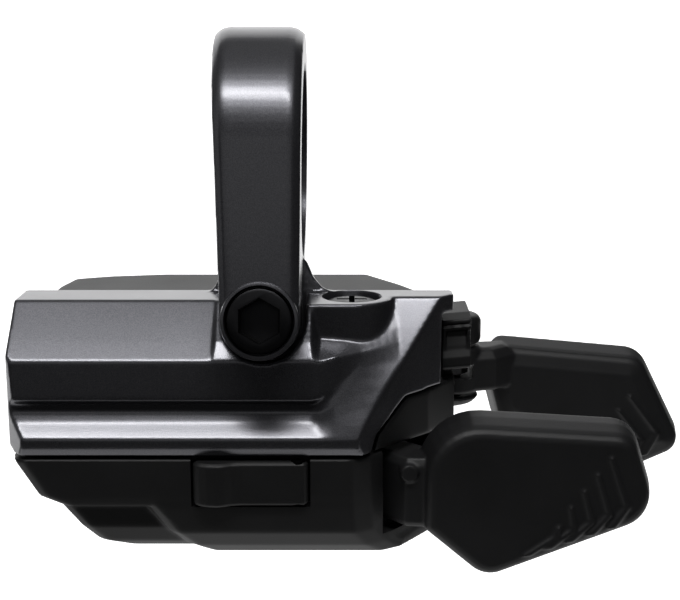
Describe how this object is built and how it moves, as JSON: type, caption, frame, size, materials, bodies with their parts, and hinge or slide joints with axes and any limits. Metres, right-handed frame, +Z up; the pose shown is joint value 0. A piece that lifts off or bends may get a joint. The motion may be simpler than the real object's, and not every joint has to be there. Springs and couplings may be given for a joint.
{
  "type": "bicycle thumb shifter",
  "caption": "Handlebar thumb shifter: a split clamp ring cast on a metal cover, a plastic housing, two thumb levers, a cable drum and a ratchet.",
  "frame": {"origin": "centre of the handlebar bore", "axes": "+X outboard along the handlebar, +Y forward away from the rider, +Z up along the lever axle"},
  "size_m": [0.0867, 0.0395, 0.06],
  "materials": {
    "grey_paint": "dark grey metallic paint, semi-gloss",
    "black_plastic": "black moulded plastic, satin",
    "lever_plastic": "black fibre-filled plastic, matte",
    "drum_plastic": "black acetal",
    "black_steel": "black oxide",
    "plated_steel": "zinc plated",
    "spring_steel": "drawn spring wire",
    "bush_plastic": "natural acetal",
    "brass_insert": "turned brass"
  },
  "bodies": {
    "housing": {"clamp_bracket": "grey_paint", "clamp_bolt": "black_steel", "clamp_nut": "plated_steel", "bracket_screw": "black_steel", "upper_housing": "black_plastic", "base_housing": "black_plastic", "base_screw_1": "black_steel", "base_screw_2": "black_steel", "base_screw_3": "black_steel", "lever_guide": "black_plastic", "flap_pin": "plated_steel", "main_axle": "plated_steel", "axle_nut": "plated_steel", "spring_washer": "spring_steel", "top_plate": "plated_steel", "lower_plate": "plated_steel", "drum_spring": "spring_steel", "main_lever_spring": "spring_steel", "release_lever_pin": "plated_steel", "hold_pawl_pin": "plated_steel", "adjuster_insert": "brass_insert"},
    "drum": {"cable_drum": "drum_plastic", "ratchet_plate": "plated_steel", "drum_bush": "bush_plastic"},
    "main_lever": {"main_lever_plate": "plated_steel", "main_lever_paddle": "lever_plastic", "drive_pawl_pin": "plated_steel"},
    "drive_pawl_body": {"drive_pawl": "plated_steel"},
    "release_lever": {"release_lever_plate": "plated_steel", "release_lever_paddle": "lever_plastic"},
    "hold_pawl_body": {"hold_pawl": "plated_steel"},
    "flap": {"cable_port_flap": "black_plastic"},
    "adjuster": {"barrel_adjuster": "black_plastic"}
  },
  "joints": [
    {"name": "main_lever_swing", "type": "hinge", "parent": "housing", "child": "main_lever", "pos_m": [0.003, 0.0055, -0.0344], "axis": [0, 0, 1], "range_deg": [0, 22], "stiffness_Nm_per_rad": 0.03, "springref_deg": -11.46},
    {"name": "drive_pawl_tilt", "type": "hinge", "parent": "main_lever", "child": "drive_pawl_body", "pos_m": [-0.01086, -0.0025, -0.0324], "axis": [0, 0, 1], "range_deg": [-4, 1]},
    {"name": "release_lever_swing", "type": "hinge", "parent": "housing", "child": "release_lever", "pos_m": [0.0233, 0.011, -0.0274], "axis": [0, 0, 1], "range_deg": [-6, 12], "stiffness_Nm_per_rad": 0.02},
    {"name": "hold_pawl_tilt", "type": "hinge", "parent": "housing", "child": "hold_pawl_body", "pos_m": [0.0126, 0.0159, -0.0324], "axis": [0, 0, 1], "range_deg": [-3, 4]},
    {"name": "drum_index", "type": "hinge", "parent": "housing", "child": "drum", "pos_m": [0.003, 0.0055, -0.0293], "axis": [0, 0, 1], "range_deg": [0, 150]},
    {"name": "flap_hinge", "type": "hinge", "parent": "housing", "child": "flap", "pos_m": [0.0044, -0.0151, -0.0336], "axis": [0, 0, 1], "range_deg": [0, 95]},
    {"name": "adjuster_turn", "type": "hinge", "parent": "housing", "child": "adjuster", "pos_m": [-0.028, 0.014, -0.0293], "axis": [-1, 0, 0], "continuous": true}
  ],
  "couplings": [
    {"joint": "drive_pawl_tilt", "follows": "main_lever_swing", "ratio": -0.15},
    {"joint": "hold_pawl_tilt", "follows": "release_lever_swing", "ratio": 0.3}
  ]
}
